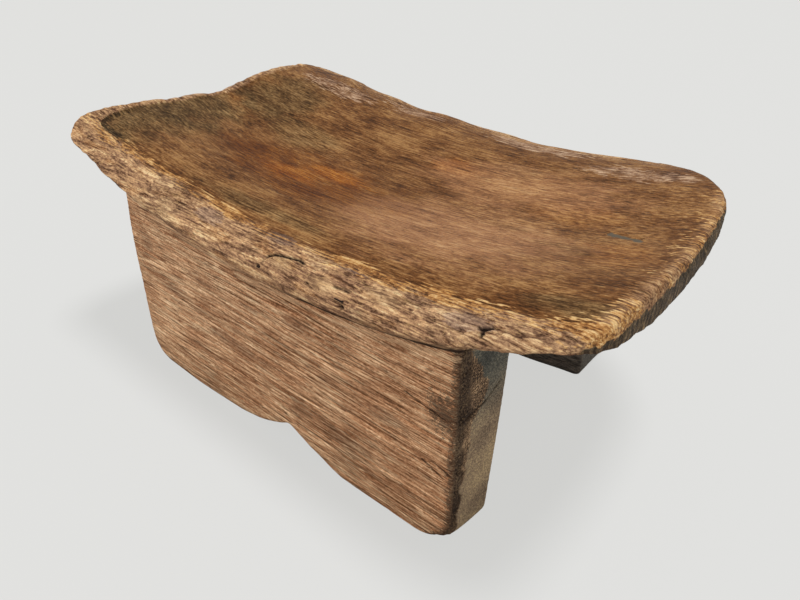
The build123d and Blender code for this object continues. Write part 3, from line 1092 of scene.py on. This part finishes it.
# %% Seat wood
def seat_wood():
    """The colour, roughness and bump of the seat."""
    material, tree, shader, place = new_finish("rubbed seat wood")
    waved = swayed(tree, place, (0.11, 0.05, 0.05), 0.008)
    fibres = noise(tree, waved, (0.030, 0.0018, 0.0018), 1.0, 0.6)
    streaks = noise(tree, waved, (0.070, 0.009, 0.009), 3.0, 0.6)
    patches = noise(tree, place, (0.07, 0.035, 0.035), 4.0, 0.6)
    flecks = noise(tree, waved, (0.009, 0.0026, 0.0026), 2.0, 0.65)
    grit = noise(tree, place, (0.0036, 0.0019, 0.0019), 3.0, 0.75)
    slabs = noise(tree, waved, (0.040, 0.011, 0.011), 3.0)
    combed = noise(tree, place, (0.006, 0.0024, 0.014), 2.0, 0.6)
    pale_lines = threads(tree, waved, (0.045, 0.0028, 0.0028), 0.032)
    dark_lines = threads(tree, waved, (0.040, 0.0034, 0.0034), 0.028)
    valley, rim = kept(tree, "valley"), kept(tree, "rim")
    layers = (fibres, 1.3), (streaks, 0.5), (patches, 1.1), (valley, -0.2), (flecks, 0.4), (grit, 1.0)
    tone = layered(tree, *layers, middle=0.535)
    layers = (fibres, 1.5), (flecks, 0.8), (grit, 1.6), (patches, 0.5), (valley, -0.4)
    rim_tone = layered(tree, *layers, (kept(tree, "flake"), -0.35))
    side_tone = layered(tree, (combed, 1.5), (grit, 1.0))
    rim_colour = rim_wood(tree, rim_tone, slabs, dark_lines, pale_lines)
    pale = tones(tree, rim_tone, "#5A4334 #9A7860 #C4A082 #E8CBAC", (0.0, 0.4, 0.7, 1.0))
    lilac = tones(tree, rim_tone, "#5A4A42 #937B6E #BFA594")
    gold = tones(tree, rim_tone, "#58371E #9A6636 #CC9453 #F6CE90")
    side = tones(tree, side_tone, "#26211B #463C30 #75624A #B99C74", (0.0, 0.4, 0.7, 1.0))
    raw = tones(tree, tone, "#3E2E23 #735741 #A5835F")
    colour = cover(
        tree,
        dish_wood(tree, tone, patches, dark_lines, pale_lines),
        (rim, rim_colour),
        (broken(tree, "pale", fibres, 3.0), pale, 0.6),
        (broken(tree, "lilac", flecks, 1.8), lilac, 0.4),
        # golden wood, with a painted glint along the crest
        (broken(tree, "gold", fibres, 2.4), gold, 0.75),
        (broken(tree, "shade_side", flecks, 0.8), side),
        # painted shade: faces that turn downwards are darkened as if lit only from above
        (kept(tree, "low"), "#54392A", 0.4),
        (kept(tree, "under"), raw),
        # painted shade in the front left notch, with a faint stain by the left nail
        (broken(tree, "soot", flecks, 1.2), "#241B12", 0.8),
        (broken(tree, "gouge", flecks, 0.8), "#645A4C"),
        (kept(tree, "hole"), "#1F1611"),
    )
    rough = layered(tree, (rim, 0.30), (flecks, 0.3), (kept(tree, "dusk"), 0.16), middle=0.66)
    splinters = times(tree, layered(tree, (flecks, 1.0), (grit, 1.2), middle=0.0), rim)
    relief = reckon(tree, "ADD", times(tree, fibres, line(tree, rim, 0.6, 0.4)), splinters)
    coat(tree, shader, colour, rough, 0.05, relief)
    return material


# %% [markdown]
# ## Forged iron
# The nails were drawn out on an anvil and have rusted in their pits. They are small and deep in shade, so a
# crust of fine noise between black and rust is enough.

# %% Forged iron
def forged_iron():
    """The colour and bump of the nails."""
    material, tree, shader, place = new_finish("rusty forged iron")
    crust = noise(tree, place, (0.002, 0.002, 0.002), 4.0, 0.6)
    colour = tones(tree, crust, "#17120F #2E221B #5A3722", (0.35, 0.55, 0.7))
    coat(tree, shader, colour, 0.75, 0.1, crust, strength=0.6, relief=0.6 * mm)
    return material


# %% [markdown]
# ## Dressing the pieces
# Each skin stands for its packed slab and rides on the stool's one body. Both legs were woven facing
# forwards, so the rear one is mirrored here. Faces that nobody looks at closely are thinned out.

# %% Dress the pieces
leg_finish, seat_finish, iron_finish = leg_wood(), seat_wood(), forged_iron()
rear_leg.data.transform(Matrix.Scale(-1, 4, (0, 1, 0)))
rear_leg.data.flip_normals()
for piece, node, finish, slot in (
    (seat, "seat", seat_finish, "seat_wood"),
    (front_leg, "front_leg", leg_finish, "leg_wood"),
    (rear_leg, "rear_leg", leg_finish, "leg_wood"),
):
    piece.data.materials.append(finish)
    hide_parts(node)
    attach(piece, "root")
all_nails = [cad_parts[node] for node in ("front_leg_nails", "rear_leg_nails")]
for nails in all_nails:
    nails.data.materials.clear()
    nails.data.materials.append(iron_finish)
underside_start = len(seat_points) - seat_top_count
left_end_points = 4 * seat_columns
thin_out(seat, underside_start + left_end_points, 0.68)
thin_out(front_leg, len(front_points) - front_face_count, 0.70)
seen = bpy.context.evaluated_depsgraph_get()
for piece in (seat, front_leg, rear_leg):
    thinned = piece.evaluated_get(seen).data
    thinned.calc_loop_triangles()
    print(piece.name, "has", len(thinned.loop_triangles), "triangles")

# %% [markdown]
# ## Floor and light
# The stool stands on a pale seamless floor in even studio light. A large soft sun on the front left keeps
# the leg's face bright, and the right end falls into a quiet shade. The floor glows a little by itself, as
# a lit table does, but only for the camera's own rays, so that its shadows are faint and it doesn't lift
# the stool's underside.

# %% Stage
lamp_place = (0.78, 0.30, 4.0)
paper_tone = (0.33, 0.33, 0.326, 1)
faint_tone = (0.06, 0.06, 0.06, 1)
glow_tone = (0.606, 0.606, 0.591, 1)
world_strength = 0.62
floor_size = 30


def pale_paper():
    """Paper that the camera sees bright, and that gives the stool back only a little light."""
    material, tree, shader, place = new_finish("pale paper")
    feed(tree, shader, {"Base Color": paper_tone, "Roughness": 0.9, "Specular IOR Level": 0.0})
    faint = add(tree, "BsdfDiffuse", {"Color": faint_tone}).outputs[0]
    under_lamp = (*lamp_place[:2], 0.0)
    away = add(tree, "VectorMath", {0: place, 1: under_lamp}, operation="SUBTRACT").outputs[0]
    square = add(tree, "VectorMath", {0: away, 1: away}, operation="DOT_PRODUCT").outputs["Value"]
    farness = line(tree, square, 1 / lamp_place[2] ** 2, 1.0)
    faded = reckon(tree, "SUBTRACT", 1.0, reckon(tree, "POWER", farness, -1.5))
    strength = line(tree, faded, 0.17, 1.0)
    glow = add(tree, "Emission", {"Color": glow_tone, "Strength": strength}).outputs[0]
    lit = add(tree, "AddShader", {0: faint, 1: glow}).outputs[0]
    seen_first = add(tree, "LightPath").outputs["Is Camera Ray"]
    paper = add(tree, "MixShader", {0: seen_first, 1: shader.outputs[0], 2: lit}).outputs[0]
    tree.links.new(paper, tree.nodes["Material Output"].inputs["Surface"])
    return material


def hang_lamp(name, kind, energy, lights, **settings):
    """A soft lamp that only lights the given objects, as if flags shaded off the rest."""
    lamp = bpy.data.lights.new(name, kind)
    lamp.energy = energy
    for setting, value in settings.items():
        setattr(lamp, setting, value)
    hung = bpy.data.objects.new(name, lamp)
    bpy.context.scene.collection.objects.link(hung)
    reach = bpy.data.collections.new(name + " reach")
    for lit in lights:
        reach.objects.link(lit)
    hung.light_linking.receiver_collection = reach
    return hung


def build_stage():
    """The floor, the even light of the room, a sun for the stool and a lamp for its shadow."""
    bpy.ops.mesh.primitive_grid_add(x_subdivisions=4, y_subdivisions=4, size=floor_size)
    floor = bpy.context.object
    floor.name = "floor"
    floor.data.materials.append(pale_paper())
    world = bpy.data.worlds.new("studio")
    world.use_nodes = True
    background = world.node_tree.nodes["Background"]
    background.inputs["Color"].default_value = (1.0, 1.0, 1.0, 1.0)
    background.inputs["Strength"].default_value = world_strength
    bpy.context.scene.world = world
    key = hang_lamp("key", "SUN", 1.55, [seat, front_leg, rear_leg, *all_nails], angle=radians(40))
    key.rotation_euler = (radians(40), 0, radians(-29))
    top = hang_lamp("top", "POINT", 1240, [floor], shadow_soft_size=0.48)
    top.location = lamp_place


build_stage()
print("lamps:", [lamp.name for lamp in bpy.data.lights])

# %% [markdown]
# ## Camera
# The stool is seen from a standing person's hand, less than a metre off, to the right of its front. So near,
# the lines run together strongly, and the focal length has to be right before any shape can be judged.

# %% Camera
sensor_width = 36
picture_width, focal_pixels = 800, 666
camera_place = (0.4135, -0.4685, 0.500)
camera_azimuth, camera_elevation = 40.2, 34

lens_data = bpy.data.cameras.new("camera")
lens_data.sensor_width = sensor_width
lens_data.lens = sensor_width * focal_pixels / picture_width
camera = bpy.data.objects.new("camera", lens_data)
camera.location = camera_place
camera.rotation_euler = (radians(90 - camera_elevation), 0, radians(camera_azimuth))
bpy.context.scene.collection.objects.link(camera)
bpy.context.scene.camera = camera
bpy.context.scene.view_settings.view_transform = "Standard"
print("camera with a lens of", round(lens_data.lens, 2), "mm")

# %% [markdown]
# ## Sizes
# A skin may not make the stool larger than its imported model, so the carving holds every point inside the
# imported model's box, which is printed here.

# %% Print the imported model's box
print("CAD box:", [[round(value, 4) for value in corner] for corner in cad_box])
